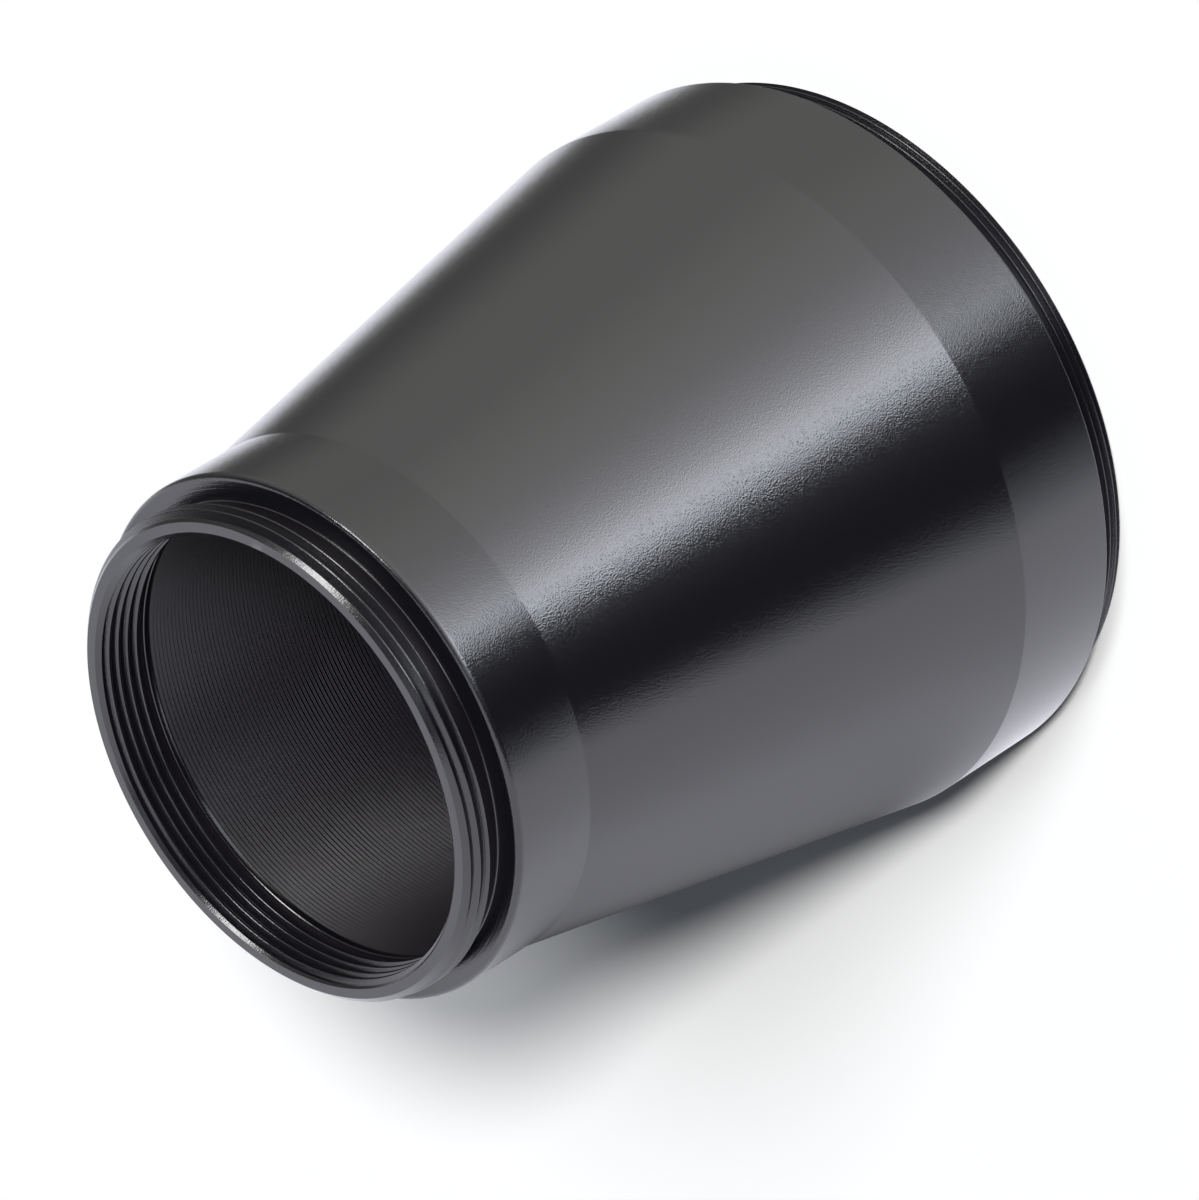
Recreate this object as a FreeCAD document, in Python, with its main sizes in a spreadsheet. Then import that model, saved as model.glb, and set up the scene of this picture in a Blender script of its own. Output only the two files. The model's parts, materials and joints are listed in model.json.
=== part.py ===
"""Tapered thread adapter: one turned aluminium tube with a male thread at each end.

The tube stands on its large end, with the axis along +Z and the origin at the
centre of that end's face. Threads are plain cylinders at their crest radius.
Sizes are in millimetres.
"""
import FreeCAD, Part
import os
import Sketcher

# Driving sizes: alias, value, what it is
SIZES = (
    ("large_thread_diameter", 58.0, "crest of the male thread at the large end"),
    ("large_thread_pitch", 0.75, "pitch of that thread"),
    ("large_thread_length", 2.8, "threaded length, lead included"),
    ("large_thread_lead", 0.45, "lead chamfer on the large end"),
    ("large_relief_width", 0.8, "undercut between the thread and its seat"),
    ("large_seat_width", 1.3, "width of the seat that the mating ring stops on"),
    ("large_wall", 2.54, "wall between the thread's root and the bore"),
    ("large_band_length", 10.0, "straight band at the large end"),
    ("cone_length", 42.0, "straight taper between the two bands"),
    ("small_band_length", 7.9, "straight band at the small end"),
    ("nose_thread_diameter", 42.0, "crest of the male thread on the nose"),
    ("nose_thread_pitch", 1.0, "pitch of that thread"),
    ("nose_thread_length", 2.5, "threaded length, lead included"),
    ("nose_thread_lead", 0.7, "lead chamfer on the nose"),
    ("nose_relief_width", 1.4, "undercut between the thread and its seat"),
    ("nose_relief_depth", 0.1, "undercut's depth past the thread's root"),
    ("nose_seat_width", 1.5, "width of the seat behind the nose"),
    ("nose_wall", 0.89, "wall between the nose's root and the socket's root"),
    ("socket_thread_pitch", 1.0, "pitch of the female thread inside the nose"),
    ("socket_thread_length", 4.5, "threaded length, lead included"),
    ("socket_thread_lead", 0.5, "lead chamfer at the mouth"),
    ("socket_relief_width", 0.8, "undercut past the female thread"),
    ("socket_relief_depth", 0.25, "undercut's depth past the thread's root"),
    ("bore_step", 0.1, "how far the bore stands in from the thread's root"),
    ("bore_lead", 0.5, "chamfer where the bore leaves the large end"),
    ("large_edge_break", 0.15, "small bevel on the outer edge of the large end's seat"),
    ("nose_edge_round", 0.5, "rounding of the small band's rim at the nose"),
)

# Depth of a metric thread as a share of its pitch, outside and inside
MALE_DEPTH = 0.6134
FEMALE_DEPTH = 0.5413

# Sizes that follow from the driving ones, as formulas of the same sheet
DERIVED = (
    ("large_crest_radius", "large_thread_diameter / 2"),
    ("large_root_radius", f"large_crest_radius - {MALE_DEPTH} * large_thread_pitch"),
    ("large_band_radius", "large_crest_radius + large_seat_width"),
    ("bore_large_radius", "large_root_radius - large_wall"),
    ("nose_crest_radius", "nose_thread_diameter / 2"),
    ("nose_root_radius", f"nose_crest_radius - {MALE_DEPTH} * nose_thread_pitch"),
    ("nose_relief_radius", "nose_root_radius - nose_relief_depth"),
    ("small_band_radius", "nose_crest_radius + nose_seat_width"),
    ("socket_root_radius", "nose_root_radius - nose_wall"),
    ("socket_crest_radius", f"socket_root_radius - {FEMALE_DEPTH} * socket_thread_pitch"),
    ("socket_relief_radius", "socket_root_radius + socket_relief_depth"),
    ("bore_small_radius", "socket_root_radius - bore_step"),
    ("large_seat_height", "large_thread_length + large_relief_width"),
    ("cone_start", "large_seat_height + large_band_length"),
    ("cone_end", "cone_start + cone_length"),
    ("nose_seat_height", "cone_end + small_band_length"),
    ("nose_relief_end", "nose_seat_height + nose_relief_width"),
    ("total_height", "nose_relief_end + nose_thread_length"),
    ("socket_thread_end", "total_height - socket_thread_length"),
    ("socket_relief_end", "socket_thread_end - socket_relief_width"),
    ("bore_start", "socket_relief_end - socket_relief_depth - bore_step"),
)

# Half sections as (radius, height) corners: aliases, or 0 on the axis or the large end's face
BLANK_SECTION = (
    (0, 0),
    ("large_crest_radius", 0),
    ("large_crest_radius", "large_thread_length"),
    ("large_root_radius", "large_thread_length"),
    ("large_root_radius", "large_seat_height"),
    ("large_band_radius", "large_seat_height"),
    ("large_band_radius", "cone_start"),
    ("small_band_radius", "cone_end"),
    ("small_band_radius", "nose_seat_height"),
    ("nose_relief_radius", "nose_seat_height"),
    ("nose_relief_radius", "nose_relief_end"),
    ("nose_crest_radius", "nose_relief_end"),
    ("nose_crest_radius", "total_height"),
    (0, "total_height"),
)
BORE_SECTION = (
    (0, 0),
    ("bore_large_radius", 0),
    ("bore_small_radius", "bore_start"),
    ("socket_relief_radius", "socket_relief_end"),
    ("socket_relief_radius", "socket_thread_end"),
    ("socket_crest_radius", "socket_thread_end"),
    ("socket_crest_radius", "total_height"),
    (0, "total_height"),
)

# Eased rims: feature, its kind, its size, and the rim's radius and height
RIMS = (
    ("thread_lead_large", "Chamfer", "large_thread_lead", "large_crest_radius", 0),
    ("thread_lead_nose", "Chamfer", "nose_thread_lead", "nose_crest_radius", "total_height"),
    ("thread_lead_socket", "Chamfer", "socket_thread_lead", "socket_crest_radius", "total_height"),
    ("bore_mouth", "Chamfer", "bore_lead", "bore_large_radius", 0),
    ("large_seat_edge", "Chamfer", "large_edge_break", "large_band_radius", "large_seat_height"),
    ("nose_seat_edge", "Fillet", "nose_edge_round", "small_band_radius", "nose_seat_height"),
)

# Property that holds the size of each kind
SIZE_PROPERTY = {"Chamfer": "Size", "Fillet": "Radius"}

TOLERANCE = 1e-6


def make_sheet(doc):
    """Fill the spreadsheet with the driving sizes and the formulas."""
    sheet = doc.addObject("Spreadsheet::Sheet", "sizes")
    for row, (alias, value, note) in enumerate(SIZES, start=1):
        sheet.set(f"A{row}", note)
        sheet.set(f"B{row}", str(value))
        sheet.setAlias(f"B{row}", alias)
    for row, (alias, formula) in enumerate(DERIVED, start=len(SIZES) + 1):
        sheet.set(f"B{row}", f"={formula}")
        sheet.setAlias(f"B{row}", alias)
    doc.recompute()
    return sheet


def size(sheet, alias):
    """Read a cell by its alias, or 0 for a point on the axis or the end face."""
    return float(sheet.get(alias)) if alias else 0.0


def tie(sketch, line, direction, alias, value):
    """Tie a line's first point to a cell, measured from the sketch's origin."""
    if not alias:
        axis = -2 if direction == "DistanceX" else -1
        sketch.addConstraint(Sketcher.Constraint("PointOnObject", line, 1, axis))
        return
    index = sketch.addConstraint(Sketcher.Constraint(direction, -1, 1, line, 1, value))
    sketch.setExpression(f"Constraints[{index}]", f"sizes.{alias}")


def half_section(body, sheet, name, corners):
    """Draw a closed half section on the XZ plane, each corner tied to the sheet."""
    sketch = body.newObject("Sketcher::SketchObject", name)
    planes = {plane.Role: plane for plane in body.Origin.OriginFeatures}
    sketch.AttachmentSupport = [(planes["XZ_Plane"], "")]
    sketch.MapMode = "FlatFace"
    places = [(size(sheet, radius), size(sheet, height)) for radius, height in corners]
    points = [FreeCAD.Vector(x, y, 0) for x, y in places]
    count = len(points)
    for i in range(count):
        sketch.addGeometry(Part.LineSegment(points[i], points[(i + 1) % count]), False)
    for i in range(count):
        sketch.addConstraint(Sketcher.Constraint("Coincident", i, 2, (i + 1) % count, 1))
    for i in range(count):
        radius, height = corners[i]
        last_radius, last_height = corners[i - 1]
        if radius == last_radius:
            sketch.addConstraint(Sketcher.Constraint("Vertical", (i - 1) % count))
        else:
            tie(sketch, i, "DistanceX", radius, points[i].x)
        if height == last_height:
            sketch.addConstraint(Sketcher.Constraint("Horizontal", (i - 1) % count))
        else:
            tie(sketch, i, "DistanceY", height, points[i].y)
    return sketch


def turn(body, kind, name, sketch):
    """Revolve a half section about Z, as an added solid or as a cut."""
    feature = body.newObject(f"PartDesign::{kind}", name)
    feature.Profile = sketch
    feature.ReferenceAxis = (sketch, ["V_Axis"])
    feature.Angle = 360.0
    body.Document.recompute()
    return feature


def rim(shape, radius, height):
    """Name the circular edge of that radius at that height."""
    for number, edge in enumerate(shape.Edges, start=1):
        curve = edge.Curve
        if isinstance(curve, Part.Circle) and abs(curve.Radius - radius) < TOLERANCE:
            if abs(curve.Center.z - height) < TOLERANCE:
                return f"Edge{number}"
    raise RuntimeError(f"no rim of radius {radius} at height {height}")


def ease(body, sheet, name, kind, alias, radius, height):
    """Bevel or round one circular edge of the body so far."""
    base = body.Tip
    edge = rim(base.Shape, size(sheet, radius), size(sheet, height))
    feature = body.newObject(f"PartDesign::{kind}", name)
    feature.Base = (base, [edge])
    setattr(feature, SIZE_PROPERTY[kind], size(sheet, alias))
    feature.setExpression(SIZE_PROPERTY[kind], f"sizes.{alias}")
    body.Document.recompute()
    return feature


def make_adapter(doc, sheet):
    """Turn the blank, bore it through and ease its rims."""
    body = doc.addObject("PartDesign::Body", "adapter_body")
    body.Label = "adapter_body"
    outside = half_section(body, sheet, "blank_section", BLANK_SECTION)
    blank = turn(body, "Revolution", "turned_blank", outside)
    inside = half_section(body, sheet, "bore_section", BORE_SECTION)
    bored = turn(body, "Groove", "stepped_bore", inside)
    if bored.Shape.Volume > blank.Shape.Volume - TOLERANCE:
        raise RuntimeError("the bore cuts nothing")
    for rim_row in RIMS:
        ease(body, sheet, *rim_row)
    return body


def check(doc, bodies):
    """Stop before anything is written if an object failed or a shape is bad."""
    for item in doc.Objects:
        if {"Invalid", "Error"} & set(item.State):
            raise RuntimeError(f"{item.Name} failed: {item.State}")
    for body in bodies:
        if body.Shape.isNull() or not body.Shape.isValid() or len(body.Shape.Solids) != 1:
            raise RuntimeError(f"{body.Label} isn't one valid solid")


def main():
    doc = FreeCAD.newDocument("thread_adapter")
    sheet = make_sheet(doc)
    bodies = [make_adapter(doc, sheet)]
    doc.recompute()
    check(doc, bodies)
    os.makedirs("parts", exist_ok=True)
    for body in bodies:
        body.Shape.exportStep(f"parts/{body.Label}.step")
        box = body.Shape.BoundBox
        lengths = f"{box.XLength:.2f} x {box.YLength:.2f} x {box.ZLength:.2f} mm"
        print(f"{body.Label}: {body.Shape.Volume:.1f} mm3, {lengths}")


main()
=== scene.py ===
"""Looks of the thread adapter: one turned tube with cut threads and a grooved bore.

The tube is rebuilt as one closed mesh inside the frame's box. Its section is in
millimetres, as heights above the large end's face, and becomes metres at the end.
"""
import json
import math

import bmesh
import bpy
import numpy as np
from mathutils import Matrix, Vector


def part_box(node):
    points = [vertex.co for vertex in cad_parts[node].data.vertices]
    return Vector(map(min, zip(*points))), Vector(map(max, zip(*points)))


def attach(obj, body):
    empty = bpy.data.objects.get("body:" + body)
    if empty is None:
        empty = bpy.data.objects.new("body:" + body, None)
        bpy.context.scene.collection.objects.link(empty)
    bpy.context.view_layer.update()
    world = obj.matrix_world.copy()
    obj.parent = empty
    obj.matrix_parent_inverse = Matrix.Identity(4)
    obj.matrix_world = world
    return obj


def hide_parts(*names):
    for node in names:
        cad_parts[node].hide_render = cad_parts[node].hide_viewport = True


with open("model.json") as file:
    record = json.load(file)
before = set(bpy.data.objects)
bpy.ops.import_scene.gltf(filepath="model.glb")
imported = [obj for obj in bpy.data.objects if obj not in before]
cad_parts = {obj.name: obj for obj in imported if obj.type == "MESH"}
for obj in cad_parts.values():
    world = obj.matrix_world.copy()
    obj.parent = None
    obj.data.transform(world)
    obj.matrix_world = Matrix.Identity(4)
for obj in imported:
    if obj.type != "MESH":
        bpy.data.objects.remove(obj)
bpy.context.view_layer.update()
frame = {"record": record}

MM = 0.001
NODE = "adapter_body"
MOUNTS = {mount["name"]: mount for mount in frame["record"]["mounts"]}

# Sizes that the frame gives
HIGH_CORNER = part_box(NODE)[1]
TOTAL_HEIGHT = HIGH_CORNER.z / MM
BAND_RADIUS = HIGH_CORNER.x / MM
LARGE_CREST = MOUNTS["large_end_thread"]["dims"]["r_mm"]
NOSE_CREST = MOUNTS["nose_thread"]["dims"]["r_mm"]
SOCKET_CREST = MOUNTS["socket_thread"]["dims"]["r_mm"]

# Corners round the axis, and the angle of the side that faces the camera
COLUMNS = 240
ANGLES = np.linspace(0.0, 2.0 * math.pi, COLUMNS + 1)
CAMERA_SIDE = -math.pi / 2.0

# Depth of a metric thread as a share of its pitch, outside and inside
MALE_DEPTH = 0.6134
FEMALE_DEPTH = 0.5413

# Widths of each thread's crest and root as shares of its pitch
LARGE_FLATS = (0.1, 0.14)
NOSE_FLATS = (0.1, 0.12)
SOCKET_FLATS = (0.25, 0.125)

# Height of one crest of each thread at the side it is counted from
LARGE_CREST_HEIGHT = 1.7
NOSE_CREST_HEIGHT = TOTAL_HEIGHT - 1.1
SOCKET_CREST_HEIGHT = TOTAL_HEIGHT - 0.97
SOCKET_CREST_SIDE = CAMERA_SIDE - math.radians(149.0)

# Large end: thread, undercut, seat and band
LARGE_PITCH = 0.75
LARGE_LEAD = 0.45
LARGE_THREAD_END = 2.8
LARGE_SEAT = 3.6
CONE_START = 13.6
LARGE_ROOT = LARGE_CREST - MALE_DEPTH * LARGE_PITCH

# Small end: band, seat, undercut and thread of the nose
CONE_END = 55.6
NOSE_SEAT = 63.5
NOSE_SEAT_WIDTH = 1.5
NOSE_RELIEF_END = 64.9
NOSE_RELIEF_DEPTH = 0.1
NOSE_PITCH = 1.0
NOSE_LEAD = 0.7
SMALL_BAND_RADIUS = NOSE_CREST + NOSE_SEAT_WIDTH
NOSE_ROOT = NOSE_CREST - MALE_DEPTH * NOSE_PITCH
NOSE_RELIEF = NOSE_ROOT - NOSE_RELIEF_DEPTH

# Inside: socket thread, undercut, plain land and grooved bore
SOCKET_PITCH = 1.0
SOCKET_LEAD = 0.5
SOCKET_THREAD_END = 62.9
SOCKET_RELIEF_END = 62.1
SOCKET_RELIEF_DEPTH = 0.25
SOCKET_ROOT = SOCKET_CREST + FEMALE_DEPTH * SOCKET_PITCH
SOCKET_RELIEF = SOCKET_ROOT + SOCKET_RELIEF_DEPTH
BORE_START = 61.75
BORE_STEP = 0.1
BORE_EDGE = 0.06
BORE_START_RADIUS = SOCKET_ROOT - BORE_STEP
BORE_END_RADIUS = 26.0
BORE_LEAD = 0.5
GROOVES_TOP = 61.3
GROOVES_BOTTOM = 1.5
GROOVE_PITCH = 0.45
GROOVE_DEPTH = 0.18

# Rounded rims of the two seats, and the small radius in the corner of the nose's seat
LARGE_ROUND = 0.12
NOSE_ROUND = 0.5
CORNER_RADIUS = 0.12
ROUND_STEPS = 8
ROUND_MARGIN = 0.05

# Corners along a thread's flank as shares of it, after a small break at the crest
FLANK_STEPS = (0.05, 0.09, 1.0)
CREST_BREAK = 0.03

# Gaps in metres for joining corners and for finding creases, and the least angle of a sharp edge
WELD_GAP = 1e-7
CREASE_GAP = 1e-6
SHARP_ANGLE = math.radians(30.0)

# Finishes, as material indices of the mesh
BLASTED, TURNED, DULL, SHADED_UNDERCUT = range(4)


def thread_corners(crest, root, flats):
    """One pitch of a thread as (share of the pitch, radius) corners, from the crest's middle."""
    crest_share, root_share = flats
    start = crest_share / 2.0
    end = 0.5 - root_share / 2.0
    rising = [(start - CREST_BREAK, crest)]
    rising += [(start + (end - start) * s, crest + (root - crest) * s) for s in FLANK_STEPS]
    falling = [(1.0 - share, radius) for share, radius in reversed(rising)]
    return rising + falling


def helix(pitch, corners, crest_side, crest_height, low, high):
    """Rows of a right-hand thread between two heights, each row along its own helix."""
    turns = (ANGLES - crest_side) / (2.0 * math.pi)
    shares, radii = zip(*corners)
    first = math.floor((low - crest_height) / pitch - turns.max()) - 1
    last = math.ceil((high - crest_height) / pitch - turns.min()) + 1
    rows = []
    for turn in range(first, last + 1):
        for share in shares:
            height = np.clip(crest_height + pitch * (turn + share + turns), low, high)
            place = (height - crest_height) / pitch - turns
            rows.append((np.interp(place, shares, radii, period=1.0), height))
    return rows


def cut(rows, limit, keep):
    """Rows cut by a chamfer, with a new row along each line where the two cross."""
    places = []
    for (radius, height), (next_radius, next_height) in zip(rows, rows[1:]):
        places.append((radius, height))
        over = radius - limit(height)
        next_over = next_radius - limit(next_height)
        crosses = over * next_over < 0.0
        if crosses.any():
            share = np.where(crosses, over / np.where(crosses, over - next_over, 1.0), 0.0)
            new_radius = radius + share * (next_radius - radius)
            new_height = height + share * (next_height - height)
            places.append((new_radius, new_height))
    places.append(rows[-1])
    return [(keep(radius, limit(height)), height) for radius, height in places]


def ring(radius, height):
    """A plain row."""
    return np.full(ANGLES.shape, float(radius)), np.full(ANGLES.shape, float(height))


def arc(size, radius, height, first, last):
    """Rows of a rounding of that size about a centre, from one angle in degrees to another."""
    angles = np.radians(np.linspace(first, last, ROUND_STEPS + 1))
    return [ring(radius + size * math.cos(a), height + size * math.sin(a)) for a in angles]


def large_thread():
    """Male thread at the large end, with its lead chamfer."""
    def chamfer(height):
        return LARGE_CREST - LARGE_LEAD + height
    corners = thread_corners(LARGE_CREST, LARGE_ROOT, LARGE_FLATS)
    rows = helix(LARGE_PITCH, corners, CAMERA_SIDE, LARGE_CREST_HEIGHT, 0.0, LARGE_THREAD_END)
    return cut(rows, chamfer, np.minimum)


def nose_thread():
    """Male thread on the nose, with its lead chamfer."""
    def chamfer(height):
        return NOSE_CREST - NOSE_LEAD + TOTAL_HEIGHT - height
    corners = thread_corners(NOSE_CREST, NOSE_ROOT, NOSE_FLATS)
    ends = (NOSE_RELIEF_END, TOTAL_HEIGHT)
    rows = helix(NOSE_PITCH, corners, CAMERA_SIDE, NOSE_CREST_HEIGHT, *ends)
    return cut(rows, chamfer, np.minimum)


def socket_thread():
    """Female thread inside the nose, with its lead chamfer, from the mouth down."""
    def chamfer(height):
        return SOCKET_CREST + SOCKET_LEAD - TOTAL_HEIGHT + height
    corners = thread_corners(SOCKET_CREST, SOCKET_ROOT, SOCKET_FLATS)
    ends = (SOCKET_THREAD_END, TOTAL_HEIGHT)
    rows = helix(SOCKET_PITCH, corners, SOCKET_CREST_SIDE, SOCKET_CREST_HEIGHT, *ends)
    return cut(rows, chamfer, np.maximum)[::-1]


def bore_radius(height):
    """Radius of the tapered bore at a height."""
    return BORE_END_RADIUS + (BORE_START_RADIUS - BORE_END_RADIUS) * height / BORE_START


def bore_grooves():
    """Fine turned grooves that keep stray light down, from the small end to the large one."""
    corners = [(0.0, 0.0), (0.5, GROOVE_DEPTH)]
    rows = helix(GROOVE_PITCH, corners, CAMERA_SIDE, GROOVES_TOP, GROOVES_BOTTOM, GROOVES_TOP)
    return [(bore_radius(height) + depth, height) for depth, height in reversed(rows)]


def section():
    """All rows of the tube in order, each with the finish of the strip that follows it."""
    rows = []

    def add(new_rows, finish):
        rows.extend((radius, height, finish) for radius, height in new_rows)

    add(large_thread(), TURNED)
    add([ring(LARGE_ROOT, LARGE_THREAD_END), ring(LARGE_ROOT, LARGE_SEAT)], TURNED)
    add([ring(BAND_RADIUS - LARGE_ROUND - ROUND_MARGIN, LARGE_SEAT)], TURNED)
    add(arc(LARGE_ROUND, BAND_RADIUS - LARGE_ROUND, LARGE_SEAT + LARGE_ROUND, -90.0, 0.0), TURNED)
    add([ring(BAND_RADIUS, LARGE_SEAT + LARGE_ROUND + ROUND_MARGIN)], BLASTED)
    add([ring(BAND_RADIUS, CONE_START), ring(SMALL_BAND_RADIUS, CONE_END)], BLASTED)
    add([ring(SMALL_BAND_RADIUS, NOSE_SEAT - NOSE_ROUND - ROUND_MARGIN)], BLASTED)
    add(arc(NOSE_ROUND, SMALL_BAND_RADIUS - NOSE_ROUND, NOSE_SEAT - NOSE_ROUND, 0.0, 90.0), TURNED)
    add([ring(SMALL_BAND_RADIUS - NOSE_ROUND - ROUND_MARGIN, NOSE_SEAT)], TURNED)
    add([ring(NOSE_RELIEF + CORNER_RADIUS + ROUND_MARGIN, NOSE_SEAT)], TURNED)
    add(arc(CORNER_RADIUS, NOSE_RELIEF + CORNER_RADIUS, NOSE_SEAT + CORNER_RADIUS, 270.0, 180.0), TURNED)
    # Painted shade: the nose's undercut wall gets the dimmer, less glossy undercut finish
    add([ring(NOSE_RELIEF, NOSE_SEAT + CORNER_RADIUS + ROUND_MARGIN)], SHADED_UNDERCUT)
    add([ring(NOSE_RELIEF, NOSE_RELIEF_END)], TURNED)
    add(nose_thread(), TURNED)
    add(socket_thread(), TURNED)
    add([ring(SOCKET_RELIEF, SOCKET_THREAD_END), ring(SOCKET_RELIEF, SOCKET_RELIEF_END)], DULL)
    add([ring(BORE_START_RADIUS + BORE_EDGE, SOCKET_RELIEF_END)], TURNED)
    add([ring(BORE_START_RADIUS, SOCKET_RELIEF_END - BORE_EDGE)], TURNED)
    add([ring(BORE_START_RADIUS, BORE_START)], TURNED)
    add(bore_grooves(), DULL)
    add([ring(bore_radius(BORE_LEAD), BORE_LEAD), ring(bore_radius(0.0) + BORE_LEAD, 0.0)], TURNED)
    return rows


def turned_mesh(name, rows):
    """Turn the rows into one closed mesh in metres."""
    heights = np.array([height for _, height, _ in rows])
    radii = np.array([radius for radius, _, _ in rows])
    points = np.stack([radii * np.cos(ANGLES), radii * np.sin(ANGLES), heights], axis=-1) * MM
    count, across = radii.shape
    faces = []
    finishes = []
    for i in range(count):
        low = i * across
        high = ((i + 1) % count) * across
        for j in range(COLUMNS):
            faces.append((low + j, low + j + 1, high + j + 1, high + j))
            finishes.append(rows[i][2])
    mesh = bpy.data.meshes.new(name)
    mesh.from_pydata(points.reshape(-1, 3).tolist(), [], faces)
    mesh.polygons.foreach_set("material_index", finishes)
    return mesh


def weld(mesh):
    """Join the corners that fall together at the seam and where threads run out."""
    work = bmesh.new()
    work.from_mesh(mesh)
    bmesh.ops.remove_doubles(work, verts=work.verts, dist=WELD_GAP)
    bmesh.ops.dissolve_degenerate(work, edges=work.edges, dist=WELD_GAP)
    work.to_mesh(mesh)
    work.free()


def mark_creases(mesh, heights):
    """Keep the change of slope crisp at these heights."""
    places = np.empty(3 * len(mesh.vertices))
    mesh.vertices.foreach_get("co", places)
    ends = np.empty(2 * len(mesh.edges), dtype=int)
    mesh.edges.foreach_get("vertices", ends)
    sharp = np.empty(len(mesh.edges), dtype=bool)
    mesh.edges.foreach_get("use_edge_sharp", sharp)
    for height in heights:
        level = np.isclose(places[2::3], height * MM, rtol=0.0, atol=CREASE_GAP)
        sharp |= level[ends[0::2]] & level[ends[1::2]]
    mesh.edges.foreach_set("use_edge_sharp", sharp)


def add_node(tree, kind, inputs=None, **settings):
    """Add a node, set it, and fill or link its sockets."""
    node = tree.nodes.new(kind)
    for name, value in settings.items():
        setattr(node, name, value)
    for socket, value in (inputs or {}).items():
        if isinstance(value, bpy.types.NodeSocket):
            tree.links.new(value, node.inputs[socket])
        else:
            node.inputs[socket].default_value = value
    return node


def maths(tree, operation, *values):
    """Result of one Math node."""
    return add_node(tree, "ShaderNodeMath", dict(enumerate(values)), operation=operation).outputs[0]


def map_range(tree, value, source, target=(0.0, 1.0), **settings):
    """A value carried from one range to another, and held at its ends."""
    inputs = {"Value": value, "From Min": source[0], "From Max": source[1]}
    inputs.update({"To Min": target[0], "To Max": target[1]})
    return add_node(tree, "ShaderNodeMapRange", inputs, **settings).outputs["Result"]


def scaled(tree, vector, factor):
    """A vector or colour times a number."""
    inputs = {0: vector, "Scale": factor}
    return add_node(tree, "ShaderNodeVectorMath", inputs, operation="SCALE").outputs["Vector"]


def total(tree, first, second):
    """Sum of two vectors or colours."""
    return add_node(tree, "ShaderNodeVectorMath", {0: first, 1: second}, operation="ADD").outputs["Vector"]


def length(tree, x, y):
    """Distance of a point from the origin of a plane."""
    flat = add_node(tree, "ShaderNodeCombineXYZ", {0: x, 1: y}).outputs[0]
    return add_node(tree, "ShaderNodeVectorMath", {0: flat}, operation="LENGTH").outputs["Value"]


def noise(tree, place, scale, detail):
    """Noise from 0 to 1 at a place."""
    inputs = {"Vector": place, "Scale": scale, "Detail": detail}
    return add_node(tree, "ShaderNodeTexNoise", inputs).outputs["Fac"]


def new_material(name):
    """A node material, with its node tree and its principled shader."""
    material = bpy.data.materials.new(name)
    material.use_nodes = True
    tree = material.node_tree
    return material, tree, tree.nodes["Principled BSDF"]


# Dye of the anodising on the outside and in the bore
BLACK = (0.0044, 0.0041, 0.0058, 1.0)
PURPLE_BLACK = (0.0047, 0.0035, 0.0053, 1.0)

# Dimples and turning marks in a metre, their detail, and the dimples' share in the marks
GRAIN_SCALE = 7500.0
GRAIN_DETAIL = 0.0
TURNING_SCALE = 9000.0
TURNING_DETAIL = 1.0
GRAIN_SHARE = 0.5


def blasted_grain(tree):
    """Fine uneven dimples that blasting leaves, as a height."""
    place = add_node(tree, "ShaderNodeTexCoord").outputs["Object"]
    dimples = add_node(tree, "ShaderNodeTexVoronoi", {"Vector": place, "Scale": GRAIN_SCALE})
    unevenness = noise(tree, place, GRAIN_SCALE, GRAIN_DETAIL)
    return maths(tree, "ADD", dimples.outputs["Distance"], unevenness)


def turning_marks(tree):
    """Rings that a turning tool leaves, with some dimples, as a height."""
    place = add_node(tree, "ShaderNodeTexCoord").outputs["Object"]
    x, y, z = add_node(tree, "ShaderNodeSeparateXYZ", {0: place}).outputs
    profile = add_node(tree, "ShaderNodeCombineXYZ", {0: length(tree, x, y), 1: z}).outputs[0]
    rings = noise(tree, profile, TURNING_SCALE, TURNING_DETAIL)
    return maths(tree, "ADD", rings, maths(tree, "MULTIPLY", blasted_grain(tree), GRAIN_SHARE))


def black_anodised(name, colour, ior, roughness, height, depth):
    """Black anodised aluminium over a surface texture of that depth in metres."""
    material, tree, shader = new_material(name)
    shader.inputs["IOR"].default_value = ior
    shader.inputs["Roughness"].default_value = roughness
    shader.inputs["Base Color"].default_value = colour
    bump = add_node(tree, "ShaderNodeBump", {"Height": height(tree), "Distance": depth})
    tree.links.new(bump.outputs["Normal"], shader.inputs["Normal"])
    return material


# Finishes in the order of their indices: name, dye, IOR, roughness, texture and its depth
FINISHES = (
    ("blasted", BLACK, 1.65, 0.165, blasted_grain, 7.5e-6),
    ("turned", BLACK, 1.65, 0.19, turning_marks, 1.1e-5),
    ("dull", PURPLE_BLACK, 1.5, 0.42, blasted_grain, 6.0e-6),
    # The undercut finish is a dimmer, less glossy copy of the turned finish, a painted shade in the nose's
    # undercut
    ("undercut", PURPLE_BLACK, 1.25, 0.4, turning_marks, 6.0e-6),
)


def make_adapter():
    """The whole tube as one piece that stands for the frame's node."""
    mesh = turned_mesh("turned_tube", section())
    weld(mesh)
    mesh.shade_smooth()
    mesh.set_sharp_from_angle(angle=SHARP_ANGLE)
    mark_creases(mesh, (CONE_START, CONE_END))
    for finish in FINISHES:
        mesh.materials.append(black_anodised(*finish))
    piece = bpy.data.objects.new("turned_tube", mesh)
    bpy.context.scene.collection.objects.link(piece)
    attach(piece, "root")
    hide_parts(NODE)


# Camera of the photograph, fitted to the part's edges, and its clipping distances
PHOTO_WIDTH = 1199
FOCAL_PIXELS = 8076.1
SENSOR_WIDTH = 36.0
ELEVATION = math.radians(37.03)
ROLL = math.radians(121.62)
NOSE_IN_VIEW = Vector((-25.218, -12.502, -621.114)) * MM
NEAREST = 0.01
FARTHEST = 20.0


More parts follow.
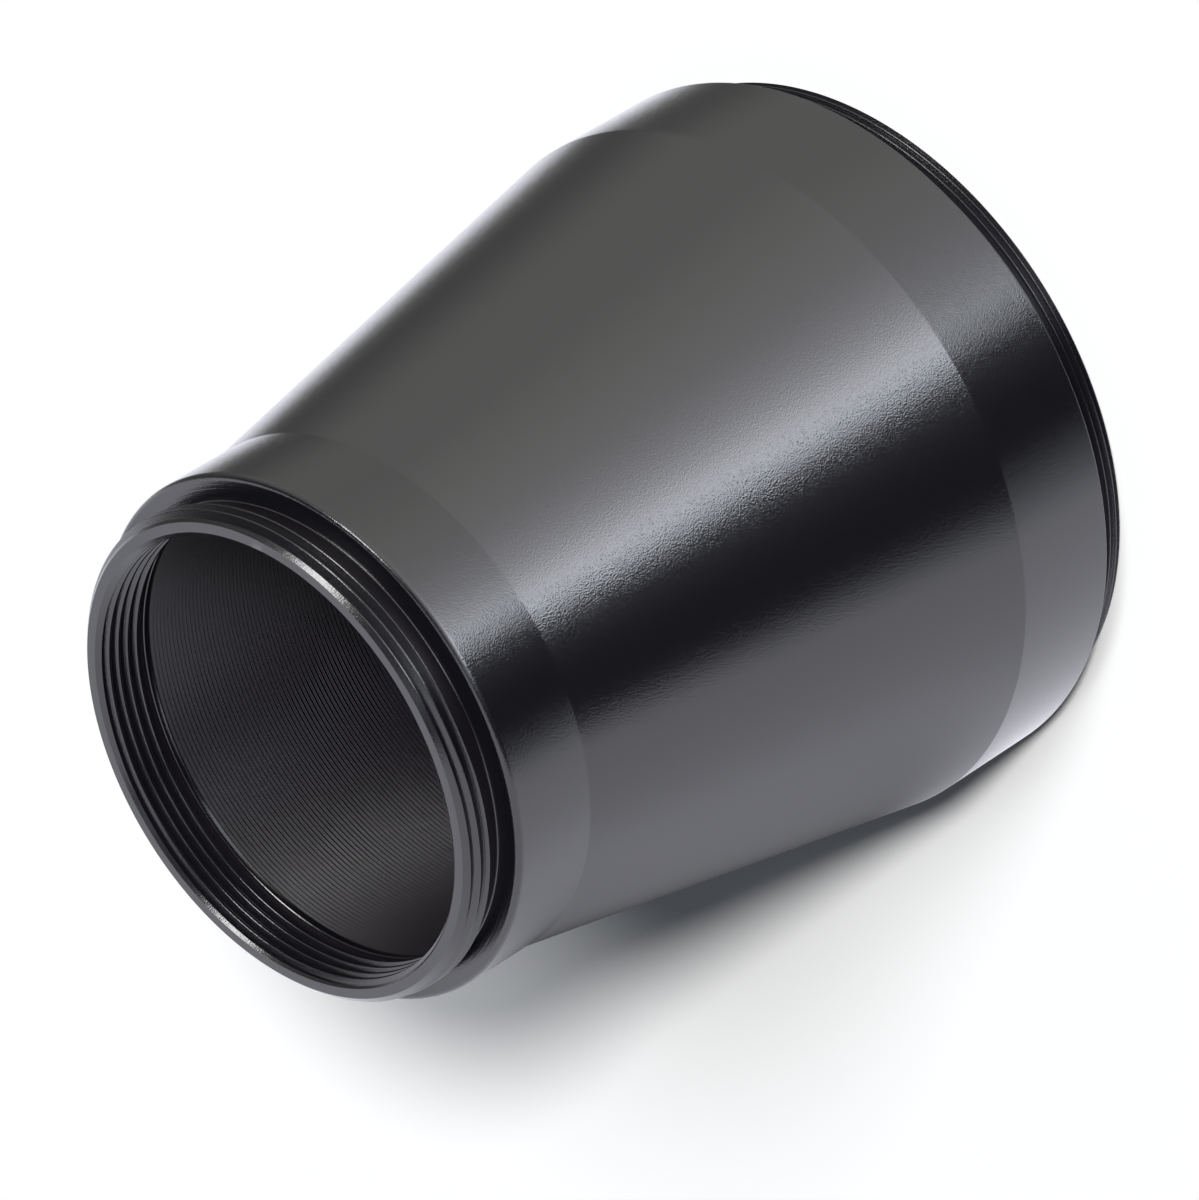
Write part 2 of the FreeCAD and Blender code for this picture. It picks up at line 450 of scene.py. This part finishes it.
def make_camera():
    """Camera at the photograph's angle, on the -Y side and rolled."""
    data = bpy.data.cameras.new("photo_camera")
    data.sensor_fit = "HORIZONTAL"
    data.sensor_width = SENSOR_WIDTH
    data.lens = FOCAL_PIXELS * SENSOR_WIDTH / PHOTO_WIDTH
    data.clip_start = NEAREST
    data.clip_end = FARTHEST
    camera = bpy.data.objects.new("photo_camera", data)
    bpy.context.scene.collection.objects.link(camera)
    turn = Matrix.Rotation(math.pi / 2.0 - ELEVATION, 4, "X") @ Matrix.Rotation(-ROLL, 4, "Z")
    nose = Vector((0.0, 0.0, HIGH_CORNER.z))
    camera.matrix_world = Matrix.Translation(nose - turn.to_3x3() @ NOSE_IN_VIEW) @ turn
    bpy.context.scene.camera = camera


def make_plane(name, low, high):
    """A flat stage object between two corners of its own XY plane."""
    mesh = bpy.data.meshes.new(name)
    outline = ((low[0], low[1]), (high[0], low[1]), (high[0], high[1]), (low[0], high[1]))
    mesh.from_pydata([(x, y, 0.0) for x, y in outline], [], [(0, 1, 2, 3)])
    plane = bpy.data.objects.new(name, mesh)
    bpy.context.scene.collection.objects.link(plane)
    return plane


FLOOR_REACH = 3.0
FLOOR_COLOUR = (0.925, 0.925, 0.925, 1.0)


def make_floor():
    """Pale floor that the tube stands on, left out of its gloss."""
    floor = make_plane("floor", (-FLOOR_REACH, -FLOOR_REACH), (FLOOR_REACH, FLOOR_REACH))
    material, _, shader = new_material("floor")
    shader.inputs["Base Color"].default_value = FLOOR_COLOUR
    shader.inputs["Roughness"].default_value = 1.0
    shader.inputs["Specular IOR Level"].default_value = 0.0
    floor.data.materials.append(material)
    floor.visible_glossy = False


# White card beside the tube, seen in its gloss alone, like the table in the photograph
CARD_SIDE = math.radians(130.0)
CARD_LOW = (-1.5, -0.6)
CARD_HIGH = (0.6, 0.22)
CARD_GAP = 0.3 * MM
CARD_LEVEL = 1.45
CARD_TINT = (0.962, 0.972, 1.06, 1.0)

# The card's painted shadow of the tube along it: its edges, its end heights, its fading past them, its
# taper
CARD_SHADE = (3.0 * MM, 37.0 * MM)
CARD_SHADE_ENDS = (14.5, 47.0)
CARD_SHADE_STRETCH = 1.6
CONE_SLOPE = (BAND_RADIUS - SMALL_BAND_RADIUS) / (CONE_END - CONE_START)
CARD_SHADE_TAPER = CONE_SLOPE / (BAND_RADIUS + SMALL_BAND_RADIUS) * 2.0 / MM


def card_material():
    """Glow of the card, with the tube's shadow painted dark along the line where the tube touches it."""
    material, tree, shader = new_material("card")
    tree.nodes.remove(shader)
    place = add_node(tree, "ShaderNodeTexCoord").outputs["Object"]
    along, across, _ = add_node(tree, "ShaderNodeSeparateXYZ", {0: place}).outputs
    start, end = CARD_SHADE_ENDS
    middle = (start + end - CONE_START - NOSE_SEAT) / 2.0 * MM
    past_end = maths(tree, "ABSOLUTE", maths(tree, "SUBTRACT", along, middle))
    past_end = maths(tree, "SUBTRACT", past_end, (end - start) / 2.0 * MM)
    past_end = maths(tree, "MULTIPLY", maths(tree, "MAXIMUM", past_end, 0.0), CARD_SHADE_STRETCH)
    aside = maths(tree, "MULTIPLY", across, maths(tree, "MULTIPLY_ADD", along, CARD_SHADE_TAPER, 1.0))
    distance = length(tree, past_end, aside)
    # Painted shadow: the card's glow falls to nothing near the tube's line of contact
    level = map_range(tree, distance, CARD_SHADE, (0.0, CARD_LEVEL), interpolation_type="SMOOTHSTEP")
    glow = add_node(tree, "ShaderNodeEmission", {"Color": CARD_TINT, "Strength": level})
    tree.links.new(glow.outputs[0], tree.nodes["Material Output"].inputs["Surface"])
    material.cycles.emission_sampling = "NONE"
    return material


def make_card():
    """The card leans on the tube's two widest edges."""
    outwards = Vector((-math.sin(CARD_SIDE), -math.cos(CARD_SIDE), 0.0))
    across = Vector((math.cos(CARD_SIDE), -math.sin(CARD_SIDE), 0.0))
    upright = Vector((0.0, 0.0, 1.0))
    low = (BAND_RADIUS * outwards + CONE_START * upright) * MM
    high = (SMALL_BAND_RADIUS * outwards + NOSE_SEAT * upright) * MM
    along = (high - low).normalized()
    inwards = along.cross(across)
    card = make_plane("card", CARD_LOW, CARD_HIGH)
    axes = Matrix((along, across, inwards)).transposed().to_4x4()
    card.matrix_world = Matrix.Translation((low + high) / 2.0 - inwards * CARD_GAP) @ axes
    card.visible_camera = False
    card.visible_diffuse = False
    card.visible_transmission = False
    card.visible_shadow = False
    card.data.materials.append(card_material())


# Even light on the floor, and the white that the camera sees behind it
FILL = 0.075
FILL_TINT = (0.9, 0.98, 1.1, 1.0)
WHITE = 0.96
WHITE_TINT = (1.0, 1.0, 1.0, 1.0)

# Room as the tube mirrors it: (degrees round from the camera's side, brightness, tint)
PLAIN = (1.0, 1.0, 1.0)
WARM = (1.015, 1.015, 0.967)
LILAC = (0.992, 0.984, 1.035)
COOL = (0.93, 0.995, 1.077)
ROOM = (
    (-180, 1.2, PLAIN), (-158, 1.15, PLAIN), (-146, 0.51, WARM), (-130, 0.195, WARM),
    (-115, 0.39, WARM), (-100, 0.8, WARM), (-85, 0.99, WARM), (-71, 1.1, WARM), (-41, 1.68, WARM),
    (-22, 2.0, LILAC), (6.9, 2.4, COOL), (8.7, 0.14, PLAIN), (22, 0.09, PLAIN),
    (31, 0.01, COOL), (51.4, 0.01, COOL), (54.9, 0.9, COOL), (180, 1.2, COOL),
)

# Strip lamp in front of the room, in the same form
STRIP = (
    (-25.5, 0.0, LILAC), (-9.5, 1.3, LILAC), (-1.5, 4.0, LILAC), (6.9, 7.6, COOL), (8.7, 0.0, COOL),
)

# How far both lean sideways with height, and the heights that they fade between at each end
ROOM_SLANT = 0.17
ROOM_FOOT = (math.radians(-38.0), math.radians(-18.0))
ROOM_FOOT_LEVEL = 0.755
ROOM_CEILING = (math.radians(16.0), math.radians(46.0))
STRIP_FOOT = (math.radians(-40.5), math.radians(-36.1))
STRIP_FOOT_LEVEL = 0.0
STRIP_CEILING = (math.radians(0.0), math.radians(20.0))
CEILING_LEVEL = 0.12

# Small lamp above the nose: (degrees round, degrees up), its edges and its brightness
SPOT_PLACE = (-64.0, 44.0)
SPOT_EDGES = (11.5, 7.5)
SPOT_LEVEL = 15.0


def glow_ramp(tree, angle, stops):
    """Colour of the surroundings at an angle."""
    peak = max(level for _, level, _ in stops)
    share = map_range(tree, angle, (-math.pi, math.pi))
    ramp = add_node(tree, "ShaderNodeValToRGB", {"Fac": share})
    elements = ramp.color_ramp.elements
    while len(elements) < len(stops):
        elements.new(1.0)
    for element, (degrees, level, tint) in zip(elements, stops):
        element.position = (degrees + 180.0) / 360.0
        element.color = tuple(level / peak * part for part in tint) + (1.0,)
    return scaled(tree, ramp.outputs["Color"], peak)


def between(tree, colour, above, foot, foot_level, ceiling):
    """That colour, dimmed below its foot and above its ceiling."""
    rise = map_range(tree, above, foot, (foot_level, 1.0))
    fall = map_range(tree, above, ceiling, (1.0, CEILING_LEVEL))
    return scaled(tree, colour, maths(tree, "MULTIPLY", rise, fall))


def spot_glow(tree, place):
    """Brightness of the small lamp in a direction."""
    side, height = (math.radians(degrees) for degrees in SPOT_PLACE)
    towards = (-math.sin(side) * math.cos(height), -math.cos(side) * math.cos(height), math.sin(height))
    near = add_node(tree, "ShaderNodeVectorMath", {0: place, 1: towards}, operation="DOT_PRODUCT")
    edges = [math.cos(math.radians(degrees)) for degrees in SPOT_EDGES]
    return map_range(tree, near.outputs["Value"], edges, (0.0, SPOT_LEVEL))


def studio_room(tree):
    """Colour of the room and its lamps in each direction."""
    place = add_node(tree, "ShaderNodeTexCoord").outputs["Generated"]
    x, y, z = add_node(tree, "ShaderNodeSeparateXYZ", {0: place}).outputs
    around = maths(tree, "ARCTAN2", maths(tree, "MULTIPLY", x, -1.0), maths(tree, "MULTIPLY", y, -1.0))
    above = maths(tree, "ARCSINE", z)
    slanted = maths(tree, "MULTIPLY_ADD", above, -ROOM_SLANT, around)
    angle = maths(tree, "WRAP", slanted, math.pi, -math.pi)
    walls = between(tree, glow_ramp(tree, angle, ROOM), above, ROOM_FOOT, ROOM_FOOT_LEVEL, ROOM_CEILING)
    strip = glow_ramp(tree, angle, STRIP)
    strip = between(tree, strip, above, STRIP_FOOT, STRIP_FOOT_LEVEL, STRIP_CEILING)
    return total(tree, total(tree, walls, strip), spot_glow(tree, place))


def background(tree, colour, strength):
    """A background shader of that colour."""
    return add_node(tree, "ShaderNodeBackground", {"Color": colour, "Strength": strength}).outputs[0]


def chosen(tree, choice, no, yes):
    """One of two shaders, by the kind of ray."""
    return add_node(tree, "ShaderNodeMixShader", {0: choice, 1: no, 2: yes}).outputs[0]


def make_world():
    """Even fill for the floor, white for the camera, a studio room for reflections."""
    world = bpy.data.worlds.new("studio")
    bpy.context.scene.world = world
    world.use_nodes = True
    world.cycles.sampling_method = "NONE"
    tree = world.node_tree
    path = add_node(tree, "ShaderNodeLightPath").outputs
    fill = background(tree, FILL_TINT, FILL)
    white = background(tree, WHITE_TINT, WHITE)
    room = background(tree, studio_room(tree), 1.0)
    seen = chosen(tree, path["Is Camera Ray"], fill, white)
    mirrored = chosen(tree, path["Is Glossy Ray"], seen, room)
    tree.links.new(mirrored, tree.nodes["World Output"].inputs["Surface"])


# Two soft lamps near the camera: degrees towards +X, degrees up, width in degrees, energy, colour
LAMPS = (
    ("key", 8.8, 36.1, 6.5, 3.4, (1.0, 0.99, 0.975)),
    ("side_key", 21.5, 46.5, 19.2, 1.71, (0.95, 0.97, 1.0)),
)


def make_lamp(name, side, height, width, energy, colour):
    """Soft lamp that gives the floor its light and shadow."""
    data = bpy.data.lights.new(name, "SUN")
    data.energy = energy
    data.angle = math.radians(width)
    data.color = colour
    lamp = bpy.data.objects.new(name, data)
    bpy.context.scene.collection.objects.link(lamp)
    lean = Matrix.Rotation(math.radians(90.0 - height), 3, "X")
    turn = Matrix.Rotation(math.radians(side), 3, "Z") @ lean
    lamp.rotation_euler = turn.to_euler()
    lamp.visible_glossy = False


bpy.context.scene.view_settings.view_transform = "Standard"
make_adapter()
make_camera()
make_floor()
make_card()
make_world()
for lamp in LAMPS:
    make_lamp(*lamp)
